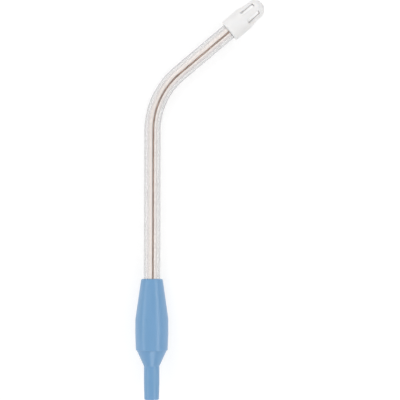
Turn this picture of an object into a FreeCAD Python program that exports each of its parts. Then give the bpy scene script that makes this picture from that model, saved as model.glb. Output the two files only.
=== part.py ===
import FreeCAD, Part
import math
import os

import Sketcher
from FreeCAD import Placement, Rotation, Vector

# A disposable saliva ejector: a clear tube with a copper-coated wire in its wall, which keeps the
# bend that the user gives it, a slotted soft cap on the end that goes in the mouth, and a moulded
# adapter whose spigot plugs into the suction hose. It lies on a table, as it comes to rest there.

# Driving dimensions, in millimetres and degrees
SIZES = {
    # Clear tube
    "tube_diameter": 6.5,
    "tube_bore": 4.1,
    # Shaping wire, and its place round the tube from the top towards the inside of the bend
    "wire_diameter": 0.7,
    "wire_gap": 0.02,
    "wire_turn": 14.0,
    # Centreline between the adapter and the cap: a straight run, a bend and a straight arm
    "straight_run": 59.4,
    "bend_radius": 30.0,
    "bend_turn": 50.1,
    "arm_run": 26.0,
    # Push fit of the tube in the cap and in the adapter
    "push_gap": 0.02,
    # Tip cap
    "cap_length": 17.3,
    "cap_diameter": 9.3,
    "cap_socket_depth": 7.3,
    "cap_sleeve_length": 7.8,
    "cap_shoulder_length": 2.6,
    "nose_diameter": 8.3,
    "dome_radius": 3.9,
    "dome_wall": 0.9,
    "chamber_end_diameter": 4.0,
    "slot_count": 6,
    "slot_start": 8.0,
    "slot_length": 6.1,
    "slot_width": 1.6,
    "slot_turn": 9.1,
    "cap_rim_bevel": 0.4,
    "cap_shoulder_round": 2.0,
    # Adapter
    "adapter_socket_depth": 22.0,
    "adapter_rim_diameter": 8.6,
    "belly_diameter": 13.2,
    "belly_start": 16.0,
    "belly_length": 6.0,
    "skirt_diameter": 12.7,
    "skirt_length": 6.3,
    "cone_top_diameter": 11.9,
    "cone_ledge_length": 0.25,
    "cone_length": 6.4,
    "spigot_diameter": 6.2,
    "spigot_length": 7.0,
    "spigot_bore": 4.1,
    "lead_in_length": 6.35,
    "lead_in_diameter": 5.85,
    "adapter_rim_bevel": 0.35,
    "belly_round": 12.0,
    "spigot_end_bevel": 0.3,
    # Small bevel at the mouth of both sockets
    "mouth_bevel": 0.25,
}

X_AXIS = Vector(1, 0, 0)
Y_AXIS = Vector(0, 1, 0)
Z_AXIS = Vector(0, 0, 1)

# Names that Sketcher gives to the origin point, the two axes and the ends of an edge
ORIGIN = (-1, 1)
ACROSS_AXIS, UP_AXIS = -1, -2
START, END, CENTRE = 1, 2, 3

# How near an edge must lie to where it is looked for
NEAR_ENOUGH = 1e-6

doc = FreeCAD.newDocument("saliva_ejector")
sheet = doc.addObject("Spreadsheet::Sheet", "sizes")
for row, (name, number) in enumerate(SIZES.items(), start=1):
    sheet.set("A%d" % row, name)
    sheet.set("B%d" % row, str(number))
    sheet.setAlias("B%d" % row, name)
doc.recompute()


def value(expression):
    """The number that an expression of the sheet's names comes to."""
    return float(sheet.evalExpression(expression))


def new_body(label):
    body = doc.addObject("PartDesign::Body", label)
    body.Label = label
    return body


def new_sketch(body, name, role):
    """A sketch on one of the body's own origin planes."""
    sketch = body.newObject("Sketcher::SketchObject", name)
    plane = next(feature for feature in body.Origin.OriginFeatures if feature.Role == role)
    sketch.AttachmentSupport = (plane, [""])
    sketch.MapMode = "FlatFace"
    return sketch


def bind(sketch, expression, kind, *where):
    """A dimension of the sketch that follows an expression of the sheet's names."""
    number = value(expression)
    if kind == "Angle":
        number = math.radians(number)
        expression = "(%s) * 1 deg" % expression
    index = sketch.addConstraint(Sketcher.Constraint(kind, *where, number))
    sketch.setExpression("Constraints[%d]" % index, expression)


def pin(sketch, edge, end, across, along):
    """Holds one end of an edge at two distances from the origin, 0 meaning on the axis."""
    for kind, axis, expression in (("DistanceX", UP_AXIS, across), ("DistanceY", ACROSS_AXIS, along)):
        if expression == "0":
            sketch.addConstraint(Sketcher.Constraint("PointOnObject", edge, end, axis))
        else:
            bind(sketch, expression, kind, *ORIGIN, edge, end)


def draw_line(sketch, start, end):
    """A line between two points given as pairs of expressions. Neither end is held yet."""
    points = [Vector(value(across), value(along), 0) for across, along in (start, end)]
    return sketch.addGeometry(Part.LineSegment(*points))


def draw_chain(sketch, corners):
    """Lines from corner to corner, each corner held by its two expressions."""
    edges = []
    for start, end in zip(corners, corners[1:]):
        edge = draw_line(sketch, start, end)
        if edges:
            sketch.addConstraint(Sketcher.Constraint("Coincident", edges[-1], END, edge, START))
        else:
            pin(sketch, edge, START, *start)
        pin(sketch, edge, END, *end)
        edges.append(edge)
    return edges


def draw_outline(sketch, corners):
    """A closed outline of straight sides."""
    edges = draw_chain(sketch, corners)
    edge = draw_line(sketch, corners[-1], corners[0])
    sketch.addConstraint(Sketcher.Constraint("Coincident", edges[-1], END, edge, START))
    sketch.addConstraint(Sketcher.Constraint("Coincident", edge, END, edges[0], START))
    return edges


def round_corner(sketch, edge, radius):
    """Rounds the corner at the end of an edge. The corner itself keeps its place as a point."""
    sketch.fillet(edge, END, value(radius), True, True)
    arcs = [index for index, shape in enumerate(sketch.Geometry) if isinstance(shape, Part.ArcOfCircle)]
    bind(sketch, radius, "Radius", arcs[-1])


def draw_dome(sketch, last_edge, corner, centre, radius):
    """A side from the corner and an arc that carries it on smoothly to the axis of the piece."""
    middle = Vector(0, value(centre), 0)
    reach = Vector(value(corner[0]), value(corner[1]), 0) - middle
    tangent = math.atan2(reach.y, reach.x) + math.acos(min(1.0, value(radius) / reach.Length))
    touch = middle + value(radius) * Vector(math.cos(tangent), math.sin(tangent), 0)
    side = sketch.addGeometry(Part.LineSegment(middle + reach, touch))
    circle = Part.Circle(middle, Z_AXIS, value(radius))
    arc = sketch.addGeometry(Part.ArcOfCircle(circle, tangent, math.pi / 2))
    sketch.addConstraint(Sketcher.Constraint("Coincident", last_edge, END, side, START))
    pin(sketch, arc, CENTRE, "0", centre)
    bind(sketch, radius, "Radius", arc)
    sketch.addConstraint(Sketcher.Constraint("PointOnObject", arc, END, UP_AXIS))
    sketch.addConstraint(Sketcher.Constraint("Tangent", side, END, arc, START))
    return arc


def close_on_axis(sketch, arc, first_edge, top):
    """The side of the outline that runs down the axis, from the top of the arc to the first edge."""
    axis = draw_line(sketch, ("0", top), ("0", "0"))
    sketch.addConstraint(Sketcher.Constraint("Coincident", arc, END, axis, START))
    sketch.addConstraint(Sketcher.Constraint("Coincident", axis, END, first_edge, START))


def draw_circle(sketch, across, up, diameter):
    """A circle whose centre lies at two distances from the origin."""
    centre = Vector(value(across), value(up), 0)
    edge = sketch.addGeometry(Part.Circle(centre, Z_AXIS, value(diameter) / 2))
    pin(sketch, edge, CENTRE, across, up)
    bind(sketch, diameter, "Diameter", edge)


def turn_profile(body, kind, name, sketch):
    """A full turn of a sketch about the body's Z axis: a Revolution adds it and a Groove cuts it."""
    feature = body.newObject(kind, name)
    feature.Profile = sketch
    feature.ReferenceAxis = (sketch, ["V_Axis"])
    feature.Angle = 360
    doc.recompute()
    return feature


def dress(body, kind, name, base, size, expression, radius, height):
    """A Fillet or Chamfer of the round edge that has this radius, at this height on the Z axis."""
    found = []
    for number, edge in enumerate(base.Shape.Edges, start=1):
        if edge.Degenerated or not isinstance(edge.Curve, Part.Circle):
            continue
        off = abs(edge.Curve.Radius - value(radius)) + abs(edge.Curve.Center.z - value(height))
        if off < NEAR_ENOUGH:
            found.append("Edge%d" % number)
    feature = body.newObject(kind, name)
    feature.Base = (base, found)
    feature.setExpression(size, expression)
    doc.recompute()
    return feature


# Centreline of the tube, from the centre of its lower end, along +Y and then towards +X
STRAIGHT = "sizes.adapter_socket_depth + sizes.straight_run"
ARM = "sizes.arm_run + sizes.cap_socket_depth"


def draw_centreline(sketch):
    """The straight run, the bend and the arm, each tangent to the next."""
    radius = value("sizes.bend_radius")
    turn = math.radians(value("sizes.bend_turn"))
    bend_start = Vector(0, value(STRAIGHT), 0)
    middle = bend_start + radius * X_AXIS
    bend_end = middle + radius * Vector(-math.cos(turn), math.sin(turn), 0)
    tip = bend_end + value(ARM) * Vector(math.sin(turn), math.cos(turn), 0)
    straight = sketch.addGeometry(Part.LineSegment(Vector(0, 0, 0), bend_start))
    circle = Part.Circle(middle, Z_AXIS, radius)
    bend = sketch.addGeometry(Part.ArcOfCircle(circle, math.pi - turn, math.pi))
    arm = sketch.addGeometry(Part.LineSegment(bend_end, tip))
    sketch.addConstraint(Sketcher.Constraint("Coincident", straight, START, *ORIGIN))
    sketch.addConstraint(Sketcher.Constraint("Vertical", straight))
    sketch.addConstraint(Sketcher.Constraint("Tangent", straight, END, bend, END))
    sketch.addConstraint(Sketcher.Constraint("Tangent", bend, START, arm, START))
    bind(sketch, STRAIGHT, "Distance", straight)
    bind(sketch, "sizes.bend_radius", "Radius", bend)
    bind(sketch, "sizes.bend_turn", "Angle", bend)
    bind(sketch, ARM, "Distance", arm)


def sweep(body, kind, name, path, across, up, diameter):
    """A round section swept along the path. Its centre may lie off the path, beside it and above it."""
    section = new_sketch(body, name + "Section", "XZ_Plane")
    draw_circle(section, across, up, diameter)
    feature = body.newObject(kind, name)
    feature.Profile = section
    feature.Spine = path
    doc.recompute()
    return feature


WIRE_RING = "((sizes.tube_diameter + sizes.tube_bore) / 4)"
WIRE_ACROSS = WIRE_RING + " * sin(sizes.wire_turn * 1 deg)"
WIRE_UP = WIRE_RING + " * cos(sizes.wire_turn * 1 deg)"


def make_tube():
    """Clear tube: a bore for the suction, and a fine hole in its wall that the wire fills."""
    body = new_body("tube")
    path = new_sketch(body, "TubeCentreline", "XY_Plane")
    draw_centreline(path)
    sweep(body, "PartDesign::AdditivePipe", "TubeWall", path, "0", "0", "sizes.tube_diameter")
    sweep(body, "PartDesign::SubtractivePipe", "TubeBore", path, "0", "0", "sizes.tube_bore")
    hole = "sizes.wire_diameter + 2 * sizes.wire_gap"
    sweep(body, "PartDesign::SubtractivePipe", "WireHole", path, WIRE_ACROSS, WIRE_UP, hole)
    return body


def make_wire():
    """Shaping wire: as long as the tube and parallel to it, in the middle of its wall."""
    body = new_body("shaping_wire")
    path = new_sketch(body, "WireGuide", "XY_Plane")
    draw_centreline(path)
    sweep(body, "PartDesign::AdditivePipe", "Wire", path, WIRE_ACROSS, WIRE_UP, "sizes.wire_diameter")
    return body


def make_tip_cap():
    """Soft cap: a sleeve that the tube stretches, and a slotted nose with a closed dome."""
    body = new_body("tip_cap")
    rim = "sizes.cap_diameter / 2"
    nose = "sizes.nose_diameter / 2"
    shoulder_end = "sizes.cap_sleeve_length + sizes.cap_shoulder_length"
    dome_centre = "sizes.cap_length - sizes.dome_radius"

    outside = new_sketch(body, "CapOutside", "XZ_Plane")
    corners = [("0", "0"), (rim, "0"), (rim, "sizes.cap_sleeve_length"), (nose, shoulder_end)]
    edges = draw_chain(outside, corners)
    dome = draw_dome(outside, edges[-1], corners[-1], dome_centre, "sizes.dome_radius")
    close_on_axis(outside, dome, edges[0], "sizes.cap_length")
    round_corner(outside, edges[1], "sizes.cap_shoulder_round")
    round_corner(outside, edges[2], "sizes.cap_shoulder_round")
    shell = turn_profile(body, "PartDesign::Revolution", "CapShell", outside)
    dress(body, "PartDesign::Chamfer", "CapRimBevel", shell, "Size", "sizes.cap_rim_bevel", rim, "0")

    socket = "sizes.tube_diameter / 2 + sizes.push_gap"
    chamber = "sizes.dome_radius - sizes.dome_wall"
    chamber_end = "sizes.chamber_end_diameter / 2"
    chamber_top = "sizes.cap_length - sizes.dome_wall"
    inside = new_sketch(body, "CapInside", "XZ_Plane")
    draw_outline(inside, [("0", "0"), (socket, "0"), (socket, "sizes.cap_socket_depth"),
                          (chamber, "sizes.cap_socket_depth"), (chamber, dome_centre),
                          (chamber_end, chamber_top), ("0", chamber_top)])
    hollow = turn_profile(body, "PartDesign::Groove", "CapHollow", inside)
    dress(body, "PartDesign::Chamfer", "CapMouthBevel", hollow, "Size", "sizes.mouth_bevel", socket, "0")

    slot_end = "sizes.slot_start + sizes.slot_length"
    window = new_sketch(body, "SlotOutline", "XZ_Plane")
    window.setExpression("AttachmentOffset.Base.z", "(%s) / 2" % chamber)
    half = "sizes.slot_width / 2"
    left = "-sizes.slot_width / 2"
    draw_outline(window, [(left, "sizes.slot_start"), (half, "sizes.slot_start"),
                          (half, slot_end), (left, slot_end)])
    slot = body.newObject("PartDesign::Pocket", "Slot")
    slot.Profile = window
    slot.Type = "Length"
    slot.setExpression("Length", "sizes.cap_diameter")
    slot.Reversed = True
    doc.recompute()

    slots = body.newObject("PartDesign::PolarPattern", "Slots")
    slots.Originals = [slot]
    slots.Axis = (inside, ["V_Axis"])
    slots.Angle = 360
    slots.setExpression("Occurrences", "sizes.slot_count")
    body.Tip = slots
    doc.recompute()
    return body


def make_adapter():
    """Moulded adapter: a bell that grips the tube, drawn in by a cone to the hose spigot."""
    body = new_body("adapter")
    rim = "sizes.adapter_rim_diameter / 2"
    belly = "sizes.belly_diameter / 2"
    skirt = "sizes.skirt_diameter / 2"
    cone_top = "sizes.cone_top_diameter / 2"
    spigot = "sizes.spigot_diameter / 2"
    lead_in = "sizes.lead_in_diameter / 2"
    belly_end = "sizes.belly_start + sizes.belly_length"
    skirt_end = belly_end + " + sizes.skirt_length"
    ledge_end = skirt_end + " + sizes.cone_ledge_length"
    spigot_start = skirt_end + " + sizes.cone_length"
    spigot_end = spigot_start + " + sizes.spigot_length"
    far_end = spigot_end + " + sizes.lead_in_length"

    outside = new_sketch(body, "AdapterOutside", "XZ_Plane")
    edges = draw_outline(outside, [("0", "0"), (rim, "0"), (belly, "sizes.belly_start"),
                                   (belly, belly_end), (skirt, skirt_end), (cone_top, ledge_end),
                                   (spigot, spigot_start), (spigot, spigot_end),
                                   (lead_in, far_end), ("0", far_end)])
    round_corner(outside, edges[1], "sizes.belly_round")
    shell = turn_profile(body, "PartDesign::Revolution", "AdapterShell", outside)
    for name, size, radius, height in (
        ("AdapterRimBevel", "sizes.adapter_rim_bevel", rim, "0"),
        ("SpigotEndBevel", "sizes.spigot_end_bevel", lead_in, far_end),
    ):
        shell = dress(body, "PartDesign::Chamfer", name, shell, "Size", size, radius, height)

    socket = "sizes.tube_diameter / 2 + sizes.push_gap"
    bore = "sizes.spigot_bore / 2"
    inside = new_sketch(body, "AdapterInside", "XZ_Plane")
    draw_outline(inside, [("0", "0"), (socket, "0"), (socket, "sizes.adapter_socket_depth"),
                          (bore, "sizes.adapter_socket_depth"), (bore, far_end), ("0", far_end)])
    hollow = turn_profile(body, "PartDesign::Groove", "AdapterHollow", inside)
    dress(body, "PartDesign::Chamfer", "AdapterMouthBevel", hollow, "Size",
          "sizes.mouth_bevel", socket, "0")
    return body


# Layout of the pieces in the tube's frame
def bend_length():
    """The length of the centreline round the bend."""
    return value("sizes.bend_radius") * math.radians(value("sizes.bend_turn"))


def station(distance):
    """The point of the centreline that lies this far from the tube's lower end, and its heading."""
    radius = value("sizes.bend_radius")
    straight = min(distance, value(STRAIGHT))
    bent = min(distance - straight, bend_length())
    angle = bent / radius
    point = Vector(radius * (1 - math.cos(angle)), straight + radius * math.sin(angle), 0)
    direction = Vector(math.sin(angle), math.cos(angle), 0)
    return point + (distance - straight - bent) * direction, direction


def cap_distance():
    """How far along the centreline the rim of the cap lies."""
    return value(STRAIGHT) + bend_length() + value("sizes.arm_run")


def lowest_on_circle(centre, axis, radius, up):
    """The lowest point of a circle round an axis."""
    down = (up.dot(axis) * axis - up).normalize()
    return centre + radius * down


def resting_up():
    """The direction that points straight up once the ejector lies on the adapter, bend and cap."""
    belly_centre = value("sizes.adapter_socket_depth - sizes.belly_start") * Y_AXIS
    rim_centre, rim_axis = station(cap_distance() + value("sizes.cap_rim_bevel"))
    bend_stations = [station(value(STRAIGHT) + bend_length() * step / 200) for step in range(201)]
    up = Z_AXIS
    for _ in range(30):
        belly = lowest_on_circle(belly_centre, Y_AXIS, value("sizes.belly_diameter / 2"), up)
        rim = lowest_on_circle(rim_centre, rim_axis, value("sizes.cap_diameter / 2"), up)
        bend = min(
            (lowest_on_circle(*at, value("sizes.tube_diameter / 2"), up) for at in bend_stations),
            key=up.dot,
        )
        up = (rim - belly).cross(bend - belly).normalize()
    return up


def place_pieces(tube, wire, cap, adapter):
    """Seats the cap and the adapter on the tube, and lays all of it down at rest."""
    cap_base, cap_axis = station(cap_distance())
    half_pitch = 180 / value("sizes.slot_count")
    slots_aside = Rotation(Z_AXIS, half_pitch + value("sizes.slot_turn"))
    cap_seat = Placement(cap_base, Rotation(X_AXIS, Z_AXIS, cap_axis, "ZXY") * slots_aside)
    adapter_base = value("sizes.adapter_socket_depth") * Y_AXIS
    adapter_seat = Placement(adapter_base, Rotation(X_AXIS, 90))
    seats = {tube: Placement(), wire: Placement(), cap: cap_seat, adapter: adapter_seat}

    lean = Placement(Vector(0, 0, 0), Rotation(resting_up(), Z_AXIS))
    for body, seat in seats.items():
        body.Placement = lean * seat
    doc.recompute()
    box = Part.makeCompound([body.Shape for body in seats]).optimalBoundingBox(False, False)
    shift = Placement(-Vector(box.Center.x, box.Center.y, box.ZMin), Rotation())
    for body, seat in seats.items():
        body.Placement = shift * lean * seat
    doc.recompute()


def check_document(bodies):
    """Stops before anything is written if a feature failed or a piece isn't one sound solid."""
    for item in doc.Objects:
        if "Invalid" in item.State or "Error" in item.State:
            raise RuntimeError("%s failed: %s" % (item.Name, item.State))
    for body in bodies:
        if body.Shape.isNull() or not body.Shape.isValid() or len(body.Shape.Solids) != 1:
            raise RuntimeError("%s has no sound solid" % body.Label)


tube = make_tube()
wire = make_wire()
cap = make_tip_cap()
adapter = make_adapter()
bodies = [adapter, tube, wire, cap]
place_pieces(tube, wire, cap, adapter)
check_document(bodies)

os.makedirs("parts", exist_ok=True)
for body in bodies:
    body.Shape.exportStep("parts/%s.step" % body.Label)
    box = body.Shape.optimalBoundingBox(False, False)
    size = (body.Label, body.Shape.Volume, box.ZMin, box.ZMax)
    print("%-14s volume %8.1f mm3, height %5.2f to %5.2f mm" % size)
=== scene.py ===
import bpy
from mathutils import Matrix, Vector

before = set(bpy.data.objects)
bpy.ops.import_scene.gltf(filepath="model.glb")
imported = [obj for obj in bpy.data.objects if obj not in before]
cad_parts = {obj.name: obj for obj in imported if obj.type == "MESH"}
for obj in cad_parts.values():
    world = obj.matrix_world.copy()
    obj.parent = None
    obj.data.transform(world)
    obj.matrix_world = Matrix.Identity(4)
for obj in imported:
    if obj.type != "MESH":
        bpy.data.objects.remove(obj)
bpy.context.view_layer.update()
scene = bpy.context.scene

# Camera: metres, straight above the middle of the object, with the adapter at the picture's bottom
CAMERA_HEIGHT = 0.62
FRAME_CENTRE = (0.00006, -0.0002)
FRAME_LEVEL = 0.005
FRAME_WIDTH = 0.1601
SENSOR_MM = 36.0

# Background: the floor's size in metres, and strengths of which 1 is seen as white
WHITE = (1.0, 1.0, 1.0, 1.0)
FLOOR_HALF = 12.0
FLOOR_COLOUR = (0.85, 0.85, 0.85, 1.0)
FLOOR_PAPER = (0.4, 0.4, 0.4, 1.0)
FLOOR_GLOW = 0.69

# Sky: strengths, and heights that go from 0 at the horizon to 1 overhead
SKY_AT_HORIZON = 0.43
SKY_ABOVE = 0.64
SKY_ABOVE_FROM = 0.6
BACKDROP_TO = 0.13
BACKDROP_GONE_AT = 0.2

# Values that most of a noise lies between, and those of its middle
NOISE_RANGE = (0.3, 0.7)
NOISE_MIDDLE = (0.35, 0.65)

# The sockets of a Mix node that mixes colours
MIX_FACTOR, MIX_FIRST, MIX_SECOND, MIX_RESULT = 0, 6, 7, 2


# Nodes
def set_inputs(tree, node, inputs):
    """Gives each input its value, or links it if it is given as an output socket."""
    for key, given in inputs.items():
        if isinstance(given, bpy.types.NodeSocket):
            tree.links.new(given, node.inputs[key])
        else:
            node.inputs[key].default_value = given


def add_node(tree, kind, inputs=None, **settings):
    """A new node with its settings and its inputs."""
    node = tree.nodes.new(kind)
    for key, setting in settings.items():
        setattr(node, key, setting)
    set_inputs(tree, node, inputs or {})
    return node


def combine(tree, operation, first, second):
    """One value from two, by a Math node's operation."""
    return add_node(tree, "ShaderNodeMath", {0: first, 1: second}, operation=operation).outputs[0]


def remap(tree, factor, span, to_span):
    """Turns one range of a value into another, and holds it there beyond the ends."""
    inputs = {"Value": factor}
    inputs["From Min"], inputs["From Max"] = span
    inputs["To Min"], inputs["To Max"] = to_span
    return add_node(tree, "ShaderNodeMapRange", inputs).outputs["Result"]


def blend(tree, factor, first, second):
    """A colour between two, by a factor from 0 to 1."""
    inputs = {MIX_FACTOR: factor, MIX_FIRST: first, MIX_SECOND: second}
    return add_node(tree, "ShaderNodeMix", inputs, data_type="RGBA").outputs[MIX_RESULT]


def noise(tree, scale, detail, stretch=(1.0, 1.0, 1.0)):
    """A noise over the object's own metres. A stretch below 1 draws it out along that axis."""
    coordinates = add_node(tree, "ShaderNodeTexCoord").outputs["Object"]
    placed = add_node(tree, "ShaderNodeMapping", {"Vector": coordinates, "Scale": stretch})
    texture = add_node(tree, "ShaderNodeTexNoise", {
        "Vector": placed.outputs["Vector"], "Scale": scale, "Detail": detail, "Roughness": 0.55})
    return texture.outputs["Fac"]


def tint(tree, texture, first, second):
    """A colour that goes from one to the other through the middle of a noise."""
    return blend(tree, remap(tree, texture, NOISE_MIDDLE, (0.0, 1.0)), first, second)


def relief(tree, *layers):
    """Small reliefs on the surface, stacked. Each is a height socket, a strength and a depth in metres."""
    below = {}
    for height, strength, depth in layers:
        inputs = {"Height": height, "Strength": strength, "Distance": depth, **below}
        below = {"Normal": add_node(tree, "ShaderNodeBump", inputs).outputs["Normal"]}
    return below["Normal"]


# Materials
def new_material(name):
    """A node material, its tree and its Principled shader."""
    material = bpy.data.materials.new(name)
    material.use_nodes = True
    tree = material.node_tree
    return material, tree, tree.nodes["Principled BSDF"]


def clear_vinyl():
    """Clear extruded tube, a little hazy, with a painted warm reflection of the copper wire through its
    middle and painted shade greying it towards its edges.
    """
    material, tree, shader = new_material("clear_vinyl")
    haze = noise(tree, scale=260.0, detail=4.0)
    specks = noise(tree, scale=2400.0, detail=2.0)
    facing = add_node(tree, "ShaderNodeLayerWeight", {"Blend": 0.5}).outputs["Facing"]
    # Painted shade: the base colour greys where the surface turns away from the view, towards the tube's
    # edges.
    painted_shade_mask = remap(tree, facing, (0.07, 0.36), (0.0, 1.0))
    # Painted reflection: the middle of the tube is tinted warm, as the copper wire's reflection would tint
    # it.
    painted_copper_warmth = tint(tree, haze, (0.985, 0.942, 0.918, 1.0), (0.998, 0.957, 0.933, 1.0))
    painted_edge_shade = (0.74, 0.75, 0.765, 1.0)
    set_inputs(tree, shader, {
        "Base Color": blend(tree, painted_shade_mask, painted_copper_warmth, painted_edge_shade),
        "Roughness": remap(tree, haze, NOISE_RANGE, (0.13, 0.19)),
        "IOR": 1.45,
        "Transmission Weight": 0.96,
        "Normal": relief(tree, (specks, 0.02, 0.00001)),
    })
    return material


def coppered_wire():
    """Drawn steel wire with a thin coat of copper, duller where the coat has darkened."""
    material, tree, shader = new_material("coppered_wire")
    patches = noise(tree, scale=420.0, detail=4.0)
    drawn = noise(tree, scale=9000.0, detail=2.0, stretch=(1.0, 0.03, 1.0))
    set_inputs(tree, shader, {
        "Base Color": tint(tree, patches, (0.46, 0.29, 0.215, 1.0), (0.64, 0.44, 0.345, 1.0)),
        "Metallic": 1.0,
        "Roughness": remap(tree, patches, NOISE_RANGE, (0.42, 0.3)),
        "Normal": relief(tree, (drawn, 0.2, 0.00001)),
    })
    return material


def white_vinyl():
    """Soft white moulding with a fine matt skin, which light gets into."""
    material, tree, shader = new_material("white_vinyl")
    cloud = noise(tree, scale=180.0, detail=3.0)
    skin = noise(tree, scale=5200.0, detail=3.0)
    set_inputs(tree, shader, {
        "Base Color": tint(tree, cloud, (0.865, 0.855, 0.85, 1.0), (0.895, 0.885, 0.88, 1.0)),
        "Roughness": remap(tree, cloud, NOISE_RANGE, (0.42, 0.52)),
        "IOR": 1.5,
        "Subsurface Weight": 0.8,
        "Subsurface Radius": (1.0, 0.95, 0.9),
        "Subsurface Scale": 0.0012,
        "Normal": relief(tree, (skin, 0.12, 0.00002)),
    })
    return material


def blue_moulding():
    """Blue satin moulding: a fine spark-eroded skin over slow flow marks."""
    material, tree, shader = new_material("blue_moulding")
    flow = noise(tree, scale=120.0, detail=3.0, stretch=(1.0, 0.3, 1.0))
    skin = noise(tree, scale=4200.0, detail=3.0)
    ripple = noise(tree, scale=300.0, detail=2.0, stretch=(1.0, 0.25, 1.0))
    set_inputs(tree, shader, {
        "Base Color": tint(tree, flow, (0.156, 0.35, 0.587, 1.0), (0.171, 0.365, 0.615, 1.0)),
        "Roughness": remap(tree, flow, NOISE_RANGE, (0.28, 0.33)),
        "IOR": 1.5,
        "Specular IOR Level": 0.85,
        "Subsurface Weight": 0.15,
        "Subsurface Radius": (0.5, 0.8, 1.0),
        "Subsurface Scale": 0.0006,
        "Normal": relief(tree, (skin, 0.12, 0.00002), (ripple, 0.08, 0.00005)),
    })
    return material


def dress_node(name, material):
    """Gives a node of the frame its finished material."""
    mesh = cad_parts[name].data
    mesh.materials.clear()
    mesh.materials.append(material)


dress_node("tube", clear_vinyl())
dress_node("shaping_wire", coppered_wire())
dress_node("tip_cap", white_vinyl())
dress_node("adapter", blue_moulding())


# Background
def seen_rays(tree):
    """1 for the rays that show the background, direct, in gloss or through the tube, and 0 for light."""
    rays = add_node(tree, "ShaderNodeLightPath").outputs
    shown = combine(tree, "MAXIMUM", rays["Is Camera Ray"], rays["Is Glossy Ray"])
    return combine(tree, "MAXIMUM", shown, rays["Is Transmission Ray"])


def white_floor():
    """A white sheet that lights the object as paper does, and is seen as white with a faint shadow."""
    material, tree, shader = new_material("white_floor")
    set_inputs(tree, shader, {"Base Color": FLOOR_COLOUR, "Roughness": 0.9, "Specular IOR Level": 0.0})
    paper = add_node(tree, "ShaderNodeBsdfDiffuse", {"Color": FLOOR_PAPER})
    glow = add_node(tree, "ShaderNodeEmission", {"Color": WHITE, "Strength": FLOOR_GLOW})
    sheet = add_node(tree, "ShaderNodeAddShader", {0: paper.outputs[0], 1: glow.outputs[0]})
    surface = add_node(tree, "ShaderNodeMixShader", {
        0: seen_rays(tree), 1: shader.outputs[0], 2: sheet.outputs[0]})
    set_inputs(tree, tree.nodes["Material Output"], {"Surface": surface.outputs[0]})
    return material


def lay_floor(half):
    """A level square under the object, so wide that low views don't show the sky's grey beyond it."""
    mesh = bpy.data.meshes.new("floor")
    corners = [(-half, -half, 0), (half, -half, 0), (half, half, 0), (-half, half, 0)]
    mesh.from_pydata(corners, [], [(0, 1, 2, 3)])
    mesh.materials.append(white_floor())
    floor = bpy.data.objects.new("floor", mesh)
    scene.collection.objects.link(floor)


lay_floor(FLOOR_HALF)


# Light
def light_sky():
    """A soft sky, darker at the horizon, where it is seen as white, as a backdrop would be."""
    world = bpy.data.worlds.new("studio")
    scene.world = world
    world.use_nodes = True
    tree = world.node_tree
    direction = add_node(tree, "ShaderNodeTexCoord").outputs["Generated"]
    height = add_node(tree, "ShaderNodeSeparateXYZ", {"Vector": direction}).outputs["Z"]
    light = remap(tree, height, (0.0, SKY_ABOVE_FROM), (SKY_AT_HORIZON, SKY_ABOVE))
    backdrop = remap(tree, height, (BACKDROP_TO, BACKDROP_GONE_AT), (1.0, SKY_AT_HORIZON))
    seen_backdrop = combine(tree, "MULTIPLY", seen_rays(tree), backdrop)
    strength = combine(tree, "MAXIMUM", light, seen_backdrop)
    set_inputs(tree, tree.nodes["Background"], {"Color": WHITE, "Strength": strength})


def softbox(name, place_at, aim_at, size, power):
    """A rectangular lamp that faces the point that it lights. Its first side lies level."""
    lamp = bpy.data.lights.new(name, "AREA")
    lamp.shape = "RECTANGLE"
    lamp.size, lamp.size_y = size
    lamp.energy = power
    holder = bpy.data.objects.new(name, lamp)
    holder.location = place_at
    holder.rotation_euler = (Vector(aim_at) - Vector(place_at)).to_track_quat("-Z", "Y").to_euler()
    scene.collection.objects.link(holder)


light_sky()
softbox("key", place_at=(-0.4, 0.65, 0.65), aim_at=(0, 0, 0), size=(0.5, 0.5), power=2.0)
softbox("right_strip", place_at=(0.49, -0.05, 0.47), aim_at=(0, -0.05, 0), size=(0.9, 0.17), power=1.15)
softbox("left_strip", place_at=(-0.6, -0.05, 0.35), aim_at=(0, -0.05, 0), size=(0.9, 0.14), power=0.8)
softbox("front", place_at=(0.06, -0.6, 0.47), aim_at=(0, -0.06, 0), size=(0.36, 0.2), power=0.55)


# Camera
def set_camera():
    """A level square of FRAME_WIDTH at FRAME_LEVEL fills the picture."""
    view = bpy.data.cameras.new("camera")
    view.sensor_width = SENSOR_MM
    view.sensor_height = SENSOR_MM
    view.lens = SENSOR_MM * (CAMERA_HEIGHT - FRAME_LEVEL) / FRAME_WIDTH
    camera = bpy.data.objects.new("camera", view)
    camera.location = (*FRAME_CENTRE, CAMERA_HEIGHT)
    scene.collection.objects.link(camera)
    scene.camera = camera


set_camera()
scene.view_settings.view_transform = "Standard"
